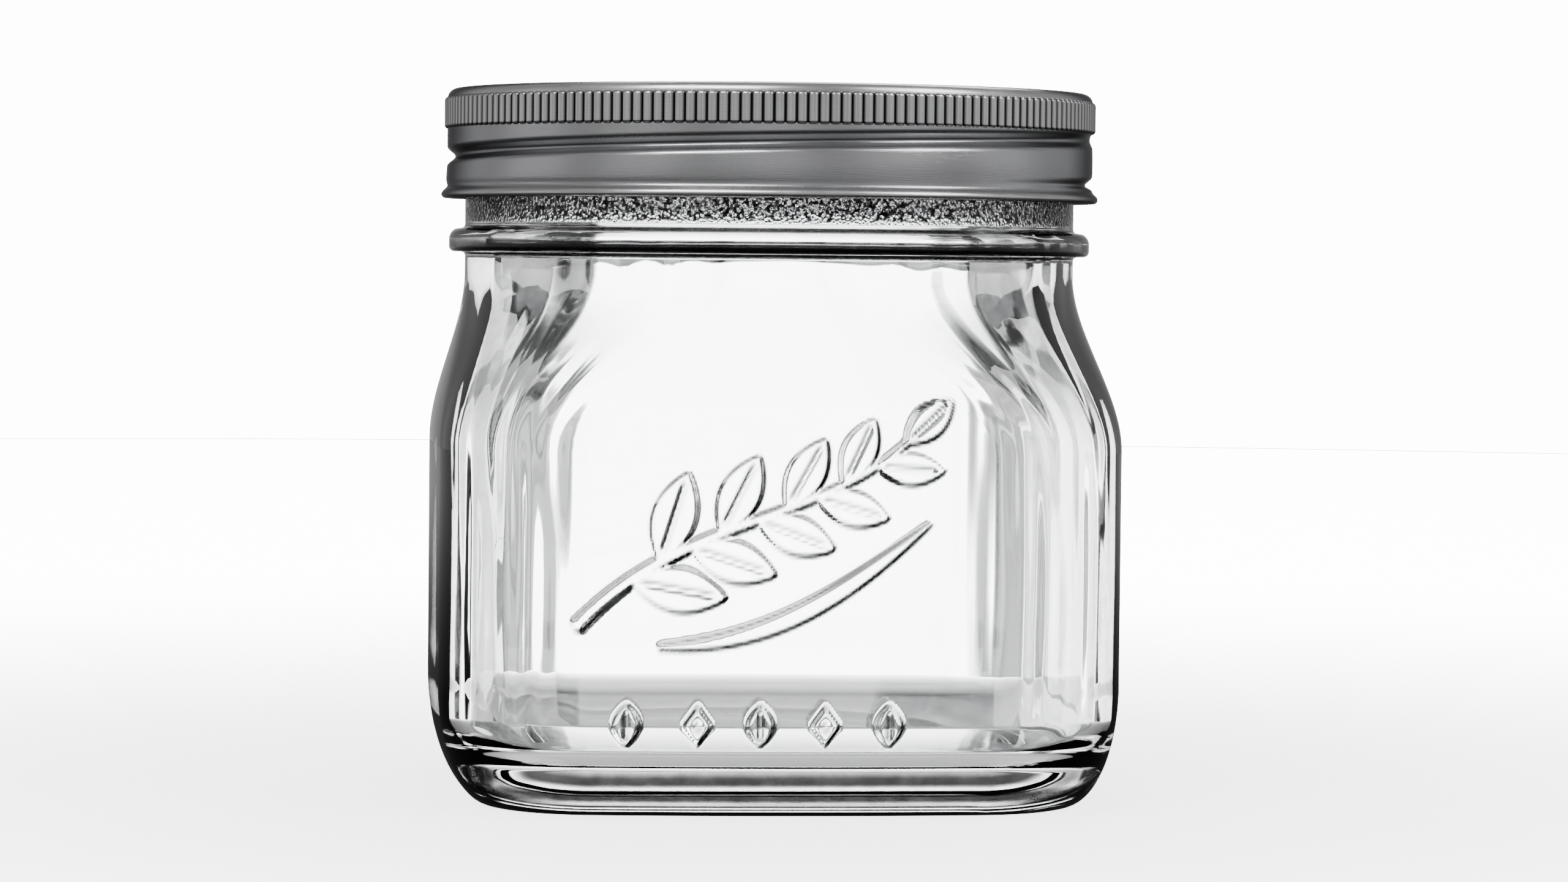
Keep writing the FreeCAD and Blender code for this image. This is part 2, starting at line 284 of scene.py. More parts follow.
def add_piece(name, mesh, material, body, slot, *nodes):
    """Links a mesh as a piece that rides on a body and stands for its CAD nodes."""
    piece = bpy.data.objects.new(name, mesh)
    bpy.context.scene.collection.objects.link(piece)
    mesh.materials.append(material)
    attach(piece, body)
    if nodes:
        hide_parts(*nodes)
    return piece


# ---------------------------------------------------------------- thread shapes


def groove_depth(turn, z, lip, sizes, wide=0.0):
    """How far the rolled groove presses in, less the swelling between its turns.

    The groove's middle falls by one pitch per turn from its start. Its section is a squared cosine, and it
    fades in and out over the fade angle at both ends.
    """
    start = sizes.start + sizes.ahead
    top = lip - sizes.drop - sizes.offset + sizes.pitch * sizes.ahead / TURN
    sweep = TURN * sizes.groove_turns
    total = np.zeros(np.broadcast(turn, z).shape)
    for lap in range(3):
        covered = np.mod(start - turn, TURN) + TURN * lap
        fade = smooth(np.minimum(covered, sweep - covered) / sizes.fade)
        away = z - top + sizes.pitch * covered / TURN
        total += sizes.depth * fade * hump(away / (sizes.groove_width / 2 + wide))
        total -= sizes.bulge * fade * hump((away + sizes.pitch / 2) / (sizes.pitch / 2))
    return total


def ridge_height(turn, z, lip, sizes):
    """Height of the glass ridge: the same fading helix, its section a parabola with soft feet."""
    sweep = TURN * sizes.turns
    total = np.zeros(np.broadcast(turn, z).shape)
    for lap in range(3):
        covered = np.mod(sizes.start - turn, TURN) + TURN * lap
        fade = smooth(np.minimum(covered, sweep - covered) / sizes.fade)
        away = z - lip + sizes.drop + sizes.pitch * covered / TURN
        total = np.maximum(total, sizes.height * fade * hump(away / (sizes.width * 0.55)) ** 0.75)
    return total


# ---------------------------------------------------------------- embossed relief, in millimetres


def bezier(points, count):
    """Points on a cubic curve through its four control points' hull."""
    t = np.linspace(0.0, 1.0, count)[:, None]
    p = np.asarray(points, float)
    return (1 - t) ** 3 * p[0] + 3 * (1 - t) ** 2 * t * p[1] + 3 * (1 - t) * t ** 2 * p[2] + t ** 3 * p[3]


def stroke(x, z, path, widths):
    """Distance inside a stroke of changing width: the largest of width less distance over the path."""
    gap = np.hypot(x[..., None] - path[:, 0], z[..., None] - path[:, 1])
    return (widths - gap).max(-1)


def leaf(x, z, root, lean, size, width):
    """Distance inside a pointed leaf, with a fine vein pressed along its middle.

    Its half width follows the sine of the share of its length, so both tips are pointed.
    """
    dx, dz = x - root[0], z - root[1]
    run = (dx * math.cos(lean) + dz * math.sin(lean)) / size
    side = -dx * math.sin(lean) + dz * math.cos(lean)
    body = width * np.sin(np.pi * np.clip(run, 0.0, 1.0)) ** 0.8 - np.abs(side)
    body = np.where((run > 0.0) & (run < 1.0), body, -1.0)
    vein = np.exp(-(side / 0.34) ** 2) * smooth((run - 0.08) / 0.12) * smooth((0.92 - run) / 0.12)
    return body, vein


def emblem(x, z):
    """Height from 0 to 1 of a slanted leafy sprig with an underline, and five small marks below it."""
    inside = np.full(x.shape, -1.0)
    veins = np.zeros(x.shape)
    stem = bezier([(-27.5, 25.5), (-14.0, 40.0), (4.0, 38.5), (15.5, 50.0)], 60)
    inside = np.maximum(inside, stroke(x, z, stem, np.linspace(1.0, 0.5, 60)))
    rise = np.arctan2(*(stem[1:] - stem[:-1]).T[::-1])
    for index, share in enumerate(np.linspace(0.16, 0.88, 9)):
        at = int(share * 58)
        side = 1.0 if index % 2 else -1.0
        size = 13.5 - 5.0 * share
        lean = rise[at] + side * math.radians(46.0 - 10.0 * share)
        body, vein = leaf(x, z, stem[at], lean, size, size * 0.235)
        inside = np.maximum(inside, body)
        veins = np.maximum(veins, vein)
    body, vein = leaf(x, z, stem[57], rise[57], 8.6, 2.1)
    inside = np.maximum(inside, body)
    veins = np.maximum(veins, vein)
    swash = bezier([(-17.0, 22.6), (-3.0, 23.0), (6.0, 29.0), (17.5, 38.5)], 70)
    widths = 1.25 * np.sin(np.linspace(0.05, 0.97, 70) * math.pi) ** 0.6
    inside = np.maximum(inside, stroke(x, z, swash, widths))
    for index, centre in enumerate((-21.4, -12.2, -4.1, 4.3, 12.6)):
        if index % 2:
            body = 1.9 - (np.abs(x - centre) + np.abs(z - 12.4) * 0.72)
            vein = np.exp(-(((x - centre) / 0.5) ** 2 + ((z - 12.4) / 0.5) ** 2))
        else:
            body, vein = leaf(x, z, (centre, 9.7), math.radians(90.0), 5.4, 1.75)
        inside = np.maximum(inside, body)
        veins = np.maximum(veins, vein)
    return smooth((inside + 0.32) / 0.74) * (1.0 - 0.55 * veins)


# ---------------------------------------------------------------- glass jar


def outline(half, corner, bow, turn):
    """Points of a rounded square with bowed sides, by the direction of its outward normal.

    Within the bow of a side's direction a point lies on the side's wide arc, and otherwise on the corner's
    arc, which the wide arc meets at a tangent. With half equal to corner it is a circle.
    """
    quarter = np.round(turn / (math.pi / 2)) * (math.pi / 2)
    away = turn - quarter
    keep = math.cos(bow) - math.sin(bow)
    side = (half - keep * corner) / (1.0 - keep)
    out = (side - corner) * math.sin(bow)
    on_side = np.abs(away) <= bow
    ahead = np.where(on_side, half - side + side * np.cos(away), out + corner * np.cos(away))
    across = np.where(on_side, side * np.sin(away), np.sign(away) * out + corner * np.sin(away))
    return (ahead * np.cos(quarter) - across * np.sin(quarter),
            ahead * np.sin(quarter) + across * np.cos(quarter))


def glass_columns(bow):
    """Normal directions round the jar, closest together on the embossed front."""
    front = -math.pi / 2
    near = spread(front - bow, front + bow, 166)
    pieces = [near]
    for side in range(4):
        start = front + bow + side * math.pi / 2
        reach = math.pi / 2 - 2 * bow
        share = spread(0.0, 1.0, 42)
        if side == 0:
            share = share ** 1.45
        if side == 3:
            share = 1.0 - (1.0 - share) ** 1.45
        pieces.append(start + reach * share)
        if side < 3:
            pieces.append(spread(start + reach, start + reach + 2 * bow, 12))
    return np.concatenate(pieces)


def heel_inset(z, rise, inset):
    """Inset of an elliptical heel at heights above its foot."""
    return inset * (1.0 - np.sqrt(np.clip(1.0 - (1.0 - np.clip(z / rise, 0.0, 1.0)) ** 2, 0.0, 1.0)))


def glass_profile(s, lip):
    """Rows of the jar from the middle of the base, up the outside, over the lip and down to the floor.

    Gives, for each row, its height, how far it is set in from the body's widest outline, and its radius
    where the glass is round (0 where it follows the body).
    """
    foot = s.heel_inset + s.land
    half = s.half
    crown = half - foot - s.push_slope
    share = spread(0.05, 1.0, 5)
    rows = [np.stack([np.full(5, s.push_up), half - crown * share, np.zeros(5)], 1)]
    share = spread(0.0, 1.0, 6)
    rows.append(np.stack([s.push_up * (1.0 - smooth(share)), foot + s.push_slope * (1.0 - share),
                          np.zeros(6)], 1))
    share = spread(0.0, 1.0, 3)
    rows.append(np.stack([np.zeros(3), foot - s.land * share, np.zeros(3)], 1))
    turn = np.radians(spread(3.0, 60.0, 12))
    rows.append(np.stack([s.heel_rise * (1.0 - np.cos(turn)), s.heel_inset * (1.0 - np.sin(turn)),
                          np.zeros(12)], 1))
    levels = np.concatenate([spread(8.2, 16.2, 20), spread(16.2, 20.6, 5), spread(20.6, 56.2, 86),
                             spread(56.2, 70.5, 18), spread(70.5, 73.0, 4)]) * MM
    rows.append(np.stack([levels, heel_inset(levels, s.heel_rise, s.heel_inset), np.zeros(len(levels))], 1))
    bead = s.neck + s.bead_stand
    mid = s.bead_foot + s.bead_height / 2
    corner = 0.75 * MM
    arcs = [bend_points((s.neck + 0.5 * MM, s.bead_foot - 0.5 * MM), 0.5 * MM, 180.0, 90.0, 3),
            bend_points((bead - corner, s.bead_foot + corner), corner, -90.0, 0.0, 5),
            bend_points((bead - 1.6 * MM, mid), 1.6 * MM, 0.0, 62.0, 6),
            bend_points((s.neck + 0.6 * MM, mid + 2.1 * MM), 0.6 * MM, -120.0, -180.0, 3)]
    path = np.concatenate(arcs)
    levels = np.concatenate([spread(77.2, 81.4, 6), spread(81.4, 93.0, 25)]) * MM
    path = np.concatenate([path, np.stack([np.full(len(levels), s.neck), levels], 1)])
    inner = s.neck - s.wall
    lip_arc = bend_points((s.neck - s.lip_round, lip - s.lip_round), s.lip_round, 0.0, 90.0, 6)
    mouth_arc = bend_points((inner + s.lip_round, lip - s.lip_round), s.lip_round, 90.0, 180.0, 6)
    levels = np.concatenate([spread(92.6, 80.0, 5), spread(80.0, 70.5, 4, True)]) * MM
    path = np.concatenate([path, lip_arc, mouth_arc, np.stack([np.full(len(levels), inner), levels], 1)])
    rows.append(np.stack([path[:, 1], np.zeros(len(path)), path[:, 0]], 1))
    levels = np.concatenate([spread(69.0, 47.5, 14), spread(47.5, 16.0, 8)]) * MM
    rows.append(np.stack([levels, np.full(len(levels), s.wall), np.zeros(len(levels))], 1))
    turn = np.radians(spread(88.0, 2.0, 11, True))
    rows.append(np.stack([s.floor + s.floor_rise * (1.0 - np.cos(turn)),
                          s.wall + s.floor_inset * (1.0 - np.sin(turn)), np.zeros(11)], 1))
    share = np.array([0.8, 0.5, 0.2, 0.05])
    inner_floor = half - s.wall - s.floor_inset
    rows.append(np.stack([np.full(4, s.floor), half - inner_floor * share, np.zeros(4)], 1))
    return np.concatenate(rows)


def glass_points(s, thread, lip):
    """The jar's surface on a grid of profile rows and normal directions.

    Each row is the body's outline at its height, moved in along its normal by the row's inset; the neck is
    round. The thread and the embossed relief then move points out along the normal. Also gives how much
    painted shade each point takes: beside the relief, above and below the bead, and in lines at the heel.
    """
    turn = glass_columns(s.bow)[None, :]
    rows = glass_profile(s, lip)
    z, inset, round_radius = (rows[:, k:k + 1] for k in range(3))
    change = smooth((z - s.body_height) / s.shoulder + 1.0)
    half = s.half + (s.neck - s.half) * change
    corner = s.corner + (s.neck - s.corner) * change
    round_row = round_radius > 0.0
    half = np.where(round_row, round_radius, half - inset)
    corner = np.where(round_row, round_radius, np.maximum(corner - inset, 0.5 * MM))
    corner = np.minimum(corner, half)
    x, y = outline(half, corner, s.bow, np.broadcast_to(turn, (len(rows), turn.shape[1])))
    outside = np.arange(len(rows))[:, None] < int(np.argmax(rows[:, 0]))
    lift = np.where(outside & round_row & (z > s.bead_foot + 6.0 * MM),
                    ridge_height(turn, z, lip, thread) * smooth((lip - 0.6 * MM - z) / (1.2 * MM)), 0.0)
    front = outside & (np.sin(turn) < -0.55) & (z < 57.0 * MM) & (z > 8.4 * MM)
    drawn, painted_shade = np.zeros(x.shape), np.zeros(x.shape)
    across, up = x[front] / MM, (z + np.zeros_like(x))[front] / MM
    drawn[front] = emblem(across, up)
    side = emblem(across - 0.22, up) - emblem(across + 0.22, up)
    above = emblem(across, up + 0.22) - emblem(across, up - 0.22)
    # Painted shade along the relief's strokes: strong on their right and lower sides, faint on the others.
    painted_shade[front] = np.clip(0.8 * side + 1.0 * above, 0.0, 1.0) + 0.2 * np.clip(-side - above, 0.0, 1.0)
    lift = lift + s.relief * drawn
    # Painted shade under the bead, a lighter painted shade over it, and painted dark lines at the heel.
    under = smooth((s.bead_foot + 1.7 * MM - z) / (0.6 * MM)) * (round_radius > s.neck + 0.1 * MM)
    over = 0.3 * hump((z - s.bead_foot - s.bead_height + 0.3 * MM) / (1.2 * MM))
    foot = 0.75 * hump((z - 2.7 * MM) / (1.2 * MM)) + 0.22 * hump((z - 5.0 * MM) / (2.6 * MM))
    painted_shade = np.where(outside, np.maximum(0.95 * painted_shade, np.maximum(under, np.maximum(over, foot))), 0.0)
    wave = np.sin(3.0 * turn + 1.1 + z * 60.0) + 0.8 * np.sin(5.0 * turn - 2.0 + z * 95.0)
    wave = wave + 0.6 * np.cos(z * 210.0)
    corner_share = smooth((np.abs(turn - np.round(turn / (math.pi / 2)) * math.pi / 2) - 0.12) / 0.3)
    streak = np.sin(24.0 * turn + 1.5 * np.sin(z * 70.0))
    streak = streak + 0.8 * np.sin(37.0 * turn - 2.0 + 1.2 * np.cos(z * 110.0))
    waves = s.ripple * wave + s.streak * streak * corner_share
    lift = lift + np.where(outside, 0.0, waves * smooth((z - 9.0 * MM) / (9.0 * MM)))
    x, y = x + lift * np.cos(turn), y + lift * np.sin(turn)
    return np.stack([x, y, z + np.zeros_like(x)], -1), np.mod(turn[0] / TURN, 1.0), painted_shade


# ---------------------------------------------------------------- band, lid and seal


def round_points(path, columns, push=None):
    """A profile of (r, z) points turned about the axis, each moved outwards by a push."""
    turn = columns[None, :]
    radius = path[:, :1] + (0.0 if push is None else push)
    z = np.broadcast_to(path[:, 1:], radius.shape if radius.shape[1] > 1 else (len(path), len(columns)))
    return np.stack([radius * np.cos(turn), radius * np.sin(turn), z], -1)


def band_profile(s, foot, top):
    """The closed outline of the band's sheet: up the outside, over the ledge, round the hem and back.

    Ends with the rolled foot. Also gives how much each point takes of the thread, and which are worn edges
    that also get a painted highlight.
    """
    outer, inner = s.radius, s.radius - s.sheet
    flare = s.flare - s.curl
    low = foot + s.curl + s.flare_height
    rise = line((outer, low + 0.1 * MM), (outer, s.knurl_foot + 0.4 * MM), 0.26 * MM)
    wall = line((outer, s.knurl_foot + 0.6 * MM), (outer, top - s.shoulder - 0.1 * MM), 0.7 * MM)
    bend = bend_points((outer - s.shoulder, top - s.shoulder), s.shoulder, 0.0, 90.0, 9)
    opening = s.radius - s.ledge
    ledge = line((outer - s.shoulder - 0.2 * MM, top), (opening + s.hem + 0.1 * MM, top), 0.9 * MM)
    ledge[:, 1] -= 0.10 * MM * smooth((outer - s.shoulder - ledge[:, 0]) / (2.5 * MM))
    dip = ledge[-1, 1]
    hem = bend_points((opening + s.hem, dip - s.hem), s.hem, 100.0, 270.0, 9)
    hem_in = bend_points((opening + s.hem, dip - s.hem), s.hem - s.sheet, 270.0, 110.0, 6)
    under = line((opening + s.hem + 0.4 * MM, dip - s.sheet), (outer - s.shoulder - 0.3 * MM, top - s.sheet),
                 1.5 * MM)
    bend_in = bend_points((outer - s.shoulder, top - s.shoulder), s.shoulder - s.sheet, 90.0, 0.0, 6)
    fall = line((inner, top - s.shoulder - 0.3 * MM), (inner, s.knurl_foot + 0.5 * MM), 0.9 * MM)
    drop = line((inner, s.knurl_foot + 0.3 * MM), (inner, low + 0.1 * MM), 0.34 * MM)
    ease = np.linspace(0.15, 0.95, 4)[:, None]
    flare_in = np.concatenate([inner + (flare - s.curl * 0.2 - inner) * smooth(ease),
                               low + (foot + 1.6 * s.curl - low) * ease], 1)
    roll_in = bend_points((flare, foot + s.curl), s.curl - s.sheet * 0.7, 70.0, -150.0, 8)
    roll = bend_points((flare, foot + s.curl), s.curl, -165.0, 40.0, 13)
    rim = roll[-1]
    flare_out = np.concatenate([rim[0] + (outer - rim[0]) * smooth(ease ** 0.8),
                                rim[1] + (low - rim[1]) * ease], 1)
    threaded, worn_and_highlit = (1.0, 0.0), (0.0, 0.8)
    plain = (0.0, 0.0)
    parts = ((rise, threaded), (wall, plain), (bend, worn_and_highlit), (ledge, plain), (hem, worn_and_highlit), (hem_in, plain),
             (under, plain), (bend_in, plain), (fall, plain), (drop, threaded), (flare_in, plain),
             (roll_in, plain), (roll, worn_and_highlit), (flare_out, plain))
    path = np.concatenate([points for points, _ in parts])
    marks = np.concatenate([np.tile(mark, (len(points), 1)) for points, mark in parts])
    above = smooth((path[:, 1] - low) / (0.8 * MM))
    below = smooth((s.knurl_foot + 0.45 * MM - path[:, 1]) / (0.7 * MM))
    return path, marks[:, 0] * above * below, marks[:, 1]


def knurl_points(s, columns):
    """A sleeve of rounded flutes whose ends sink into the plain wall.

    Across a flute the surface is a crest that falls away with the cube of the share of its half width.
    Towards the ends the crest narrows and dips, so each flute has a rounded end. Also gives the painted shade
    at each point, from 0 on a crest to 1 in a valley, and how much of a worn edge with a painted highlight it
    is.
    """
    levels = np.concatenate([spread(0.0, 0.15, 8), spread(0.15, 0.85, 4), spread(0.85, 1.0, 9, True)])
    z = (s.knurl_foot + (s.knurl_top - s.knurl_foot) * levels)[:, None]
    share = np.mod(columns[None, :] * s.flutes / TURN, 1.0) * 2.0 - 1.0
    tip = np.clip(np.minimum(levels, 1.0 - levels)[:, None] / 0.11, 0.0, 1.0)
    full = np.sqrt(1.0 - (1.0 - tip) ** 2)
    crest = np.clip(1.0 - np.abs(share) ** 3 / np.maximum(full, 0.2) ** 2, -0.35, 1.0)
    base = s.radius + s.knurl_stand - s.knurl_depth
    radius = base + crest * s.knurl_depth * full - 0.22 * MM * (1.0 - full)
    outer = np.stack([radius * np.cos(columns), radius * np.sin(columns),
                      np.broadcast_to(z, radius.shape)], -1)
    back = round_points(np.stack([np.full(4, s.radius - s.sheet * 0.6),
                                  np.linspace(s.knurl_top, s.knurl_foot, 4)], 1), columns)
    # Painted shade: darkest in the valleys between flutes, none on the crests.
    painted_shade = np.clip(1.0 - crest * full, 0.0, 1.0) * smooth(tip * 1.5)
    painted_shade = np.concatenate([painted_shade, np.zeros(back.shape[:2])])
    # Worn crests, brightened as wear and as a painted highlight.
    edge = np.concatenate([smooth((crest - 0.55) / 0.4) * full, np.zeros(back.shape[:2])])
    return np.concatenate([outer, back]), painted_shade, edge


def shade_by(mesh, name, values):
    """Stores one number per vertex as an attribute that the materials read."""
    mesh.attributes.new(name, "FLOAT", "POINT").data.foreach_set("value", values.astype(np.float32).ravel())


def lid_profile(s, radius, low, top):
    """The closed outline of the lid's sheet from its middle out over the top, round the rim and back."""
    panel = top - s.drop
    bend = s.bend
    upper = np.array([
        [0.4 * MM, panel + s.rise + s.crown], [s.button - s.slope, panel + s.rise + s.crown],
        [s.button, panel + s.rise], [s.step - 2 * bend, panel + s.rise], [s.step, panel],
        [s.channel - 2 * bend, panel], [s.channel, top], [radius - bend, top]])
    path = refine(upper, 0.55 * MM)
    soft = path.copy()
    for _ in range(2):
        soft[1:-1] = (soft[:-2] + 2.0 * soft[1:-1] + soft[2:]) / 4.0
    for ring in (26.5 * MM, 19.5 * MM):
        soft[:, 1] += 0.05 * MM * hump((soft[:, 0] - ring) / (0.9 * MM))
    rim = bend_points((radius - bend, top - bend), bend, 80.0, 0.0, 6)
    skirt = np.array([[radius, top - 2 * bend], [radius, low + 0.12 * MM], [radius - 0.06 * MM, low]])
    skirt_in = np.array([[radius - s.sheet + 0.05 * MM, low], [radius - s.sheet, low + 0.12 * MM],
                         [radius - s.sheet, top - 2 * bend]])
    rim_in = bend_points((radius - bend, top - bend), bend - s.sheet, 0.0, 80.0, 4)
    lower = soft[::-1] - np.array([0.0, s.sheet])
    outer = np.concatenate([soft, rim, skirt, skirt_in, rim_in, lower])
    return outer[::-1]


def seal_profile(low, high, inner, outer):
    """The closed outline of the sealing ring: a soft-cornered band of compound, fuller at its middle."""
    turn = np.linspace(0.0, TURN, 28, endpoint=False)
    power = 0.45
    across = np.sign(np.cos(turn)) * np.abs(np.cos(turn)) ** power
    up = np.sign(np.sin(turn)) * np.abs(np.sin(turn)) ** power
    middle, half = (inner + outer) / 2, (outer - inner) / 2
    return np.stack([middle + half * across, (low + high) / 2 + (high - low) / 2 * up], 1)


# ---------------------------------------------------------------- shader nodes


class Sheet:
    """A node tree being filled in: adds nodes, sets their values and joins them."""

    def __init__(self, tree):
        self.tree = tree

    def put(self, target, value):
        """Sets an input to a value, or links a socket to it."""
        if isinstance(value, bpy.types.NodeSocket):
            self.tree.links.new(value, target)
        else:
            target.default_value = value

    def node(self, kind, inputs=None, **settings):
        """Adds a node with its settings, and gives each named or numbered input a value or a socket."""
        made = self.tree.nodes.new(kind)
        for key, value in settings.items():
            setattr(made, key, value)
        for key, value in (inputs or {}).items():
            self.put(made.inputs[key], value)
        return made

    def math(self, operation, first, second=0.0):
        """The result of a math node; each operand is a number or a socket."""
        return self.node("ShaderNodeMath", {0: first, 1: second}, operation=operation).outputs[0]

    def times(self, first, second):
        """The product of two numbers or sockets."""
        return self.math("MULTIPLY", first, second)

    def mix(self, share, first, second):
        """A colour that goes from the first to the second as the share goes from 0 to 1."""
        return self.node("ShaderNodeMix", {0: share, 6: first, 7: second}, data_type="RGBA").outputs[2]

    def ramp(self, value, low, high, start=0.0, end=1.0):
        """A level that goes softly from start to end as a value goes from low to high."""
        ends = {"Value": value, "From Min": low, "From Max": high, "To Min": start, "To Max": end}
        return self.node("ShaderNodeMapRange", ends, interpolation_type="SMOOTHSTEP").outputs[0]

    def noise(self, place, scale, detail, roughness=0.5):
        """Cloudy noise from 0 to 1."""
        values = {"Vector": place, "Scale": scale, "Detail": detail, "Roughness": roughness}
        return self.node("ShaderNodeTexNoise", values).outputs["Fac"]

    def held(self, value):
        """A value held between 0 and 1."""
        return self.node("ShaderNodeClamp", {"Value": value}).outputs[0]

    def axes(self, vector):
        """The three parts of a vector."""
        return self.node("ShaderNodeSeparateXYZ", {"Vector": vector}).outputs

    def place(self):
        """Where a point of the object is, in metres."""
        return self.node("ShaderNodeTexCoord").outputs["Object"]

    def mark(self, name):
        """A number stored at each vertex."""
        return self.node("ShaderNodeAttribute", attribute_name=name).outputs["Fac"]

    def facing(self):
        """0 where a surface faces the eye, rising to 1 where it turns edge on."""
        return self.node("ShaderNodeLayerWeight", {"Blend": 0.5}).outputs["Facing"]


def new_group(name, inputs, output_kinds):
    """A shader node group with named sockets, its sheet, and the sockets inside it.

    The kind of an input follows from its default: none for a place, a number, or a colour.
    """
    tree = bpy.data.node_groups.new(name, "ShaderNodeTree")
    kinds = {type(None): "NodeSocketVector", float: "NodeSocketFloat", tuple: "NodeSocketColor"}
    for label, value in inputs.items():
        made = tree.interface.new_socket(name=label, in_out="INPUT", socket_type=kinds[type(value)])
        if value is not None:
            made.default_value = value
    for label, kind in output_kinds.items():
        tree.interface.new_socket(name=label, in_out="OUTPUT", socket_type="NodeSocket" + kind)
    return Sheet(tree), tree.nodes.new("NodeGroupInput").outputs, tree.nodes.new("NodeGroupOutput").inputs


def pebble_group():
    """Pebbled relief between two heights: rounded cells with fine noise, fading out at the edges."""
    sheet, given, result = new_group(
        "Pebbled Strip", {"Position": None, "Scale": 700.0, "Low": 0.0, "High": 0.01, "Edge": 0.0006},
        {"Height": "Float"})
    height = sheet.axes(given["Position"])["Z"]
    cells = sheet.node("ShaderNodeTexVoronoi", {"Vector": given["Position"], "Scale": given["Scale"],
                                                "Smoothness": 0.35}, feature="SMOOTH_F1").outputs["Distance"]
    fine = sheet.noise(given["Position"], given["Scale"], 2.0)
    body = sheet.math("SUBTRACT", fine, sheet.times(cells, 1.1))
    rise = sheet.math("DIVIDE", sheet.math("SUBTRACT", height, given["Low"]), given["Edge"])
    fall = sheet.math("DIVIDE", sheet.math("SUBTRACT", given["High"], height), given["Edge"])
    sheet.put(result["Height"], sheet.times(body, sheet.held(sheet.math("MINIMUM", rise, fall))))
    return sheet.tree


def brushed_group():
    """Fine lines drawn round a turned part, from noise stretched along the turn."""
    sheet, given, result = new_group(
        "Brushed Grain", {"Profile UV": None, "Round": 14.0, "Across": 9000.0, "Roughness": 0.3,
                          "Spread": 0.12},
        {"Height": "Float", "Roughness": "Float"})
    parts = sheet.axes(given["Profile UV"])
    turn = sheet.times(parts["X"], TURN)
    place = sheet.node("ShaderNodeCombineXYZ", {
        "X": sheet.times(sheet.math("COSINE", turn), given["Round"]),
        "Y": sheet.times(sheet.math("SINE", turn), given["Round"]),
        "Z": sheet.times(parts["Y"], given["Across"])}).outputs[0]
    centred = sheet.math("SUBTRACT", sheet.noise(place, 1.0, 3.0, 0.6), 0.5)
    sheet.put(result["Height"], centred)
    change = sheet.times(centred, given["Spread"])
    sheet.put(result["Roughness"], sheet.math("ADD", given["Roughness"], change))
    return sheet.tree


def handling_group():
    """Faint smudges from handling: large soft patches that raise the roughness and dull the colour."""
    sheet, given, result = new_group(
        "Handling Smudge", {"Position": None, "Scale": 60.0, "Amount": 0.3, "Clean": (0.6, 0.6, 0.6, 1.0),
                            "Dull": (0.5, 0.5, 0.5, 1.0), "Roughness": 0.3},
        {"Color": "Color", "Roughness": "Float"})
    patches = sheet.ramp(sheet.noise(given["Position"], given["Scale"], 5.0, 0.62), 0.48, 0.68)
    share = sheet.times(patches, given["Amount"])
    sheet.put(result["Color"], sheet.mix(share, given["Clean"], given["Dull"]))
    sheet.put(result["Roughness"], sheet.math("ADD", given["Roughness"], sheet.times(share, 0.25)))
    return sheet.tree


def wear_and_highlight_group():
    """Bright worn edges, also a painted highlight: the colour goes to bare metal at marked edges, in patches.
    """
    sheet, given, result = new_group(
        "Edge Wear", {"Color": (0.6, 0.6, 0.6, 1.0), "Worn": (0.9, 0.9, 0.91, 1.0), "Edge": 0.0,
                      "Position": None, "Scale": 220.0, "Amount": 0.95},
        {"Color": "Color"})
    patch = sheet.math("ADD", sheet.times(sheet.noise(given["Position"], given["Scale"], 3.0), 0.9), 0.35)
    share = sheet.times(sheet.held(sheet.times(given["Edge"], patch)), given["Amount"])
    sheet.put(result["Color"], sheet.mix(share, given["Color"], given["Worn"]))
    return sheet.tree


def painted_shade_group():
    """Painted shade in hollows: the colour falls away towards near black with the stored painted shade."""
    sheet, given, result = new_group(
        "Settled Grime", {"Color": (0.6, 0.6, 0.6, 1.0), "Hollow": 0.0, "Grime": (0.012, 0.012, 0.014, 1.0)},
        {"Color": "Color"})
    share = sheet.ramp(given["Hollow"], 0.05, 0.8)
    sheet.put(result["Color"], sheet.mix(share, given["Color"], given["Grime"]))
    return sheet.tree


def glass_shade_group():
    """Painted shade on clear glass, uneven in patches: each step of the painted shade takes the same share of
    the light.
    """
    sheet, given, result = new_group(
        "Held Dust", {"Color": (1.0, 1.0, 1.0, 1.0), "Hollow": 0.0, "Position": None, "Scale": 500.0,
                      "Density": 5.2},
        {"Color": "Color"})
    uneven = sheet.math("ADD", sheet.times(sheet.noise(given["Position"], given["Scale"], 3.0), 0.5), 0.75)
    glass_shade = sheet.times(sheet.times(given["Hollow"], given["Density"]), uneven)
    clear = sheet.math("POWER", 10.0, sheet.times(glass_shade, -1.0))
    scaled = sheet.node("ShaderNodeVectorMath", {0: given["Color"], "Scale": clear}, operation="SCALE")
    sheet.put(result["Color"], scaled.outputs[0])
    return sheet.tree


def use_group(sheet, make, inputs):
    """Puts a group, made once and shared, into a tree, sets or links its inputs, and gives its outputs."""
    made = next((tree for tree in bpy.data.node_groups if tree.get("maker") == make.__name__), None)
    if made is None:
        made = make()
        made["maker"] = make.__name__
    return sheet.node("ShaderNodeGroup", inputs, node_tree=made).outputs


def new_material(name):
    """An empty node material, its sheet and its Principled node."""
    material = bpy.data.materials.new(name)
    material.use_nodes = True
    shader = next(n for n in material.node_tree.nodes if n.type == "BSDF_PRINCIPLED")
    return material, Sheet(material.node_tree), shader.inputs


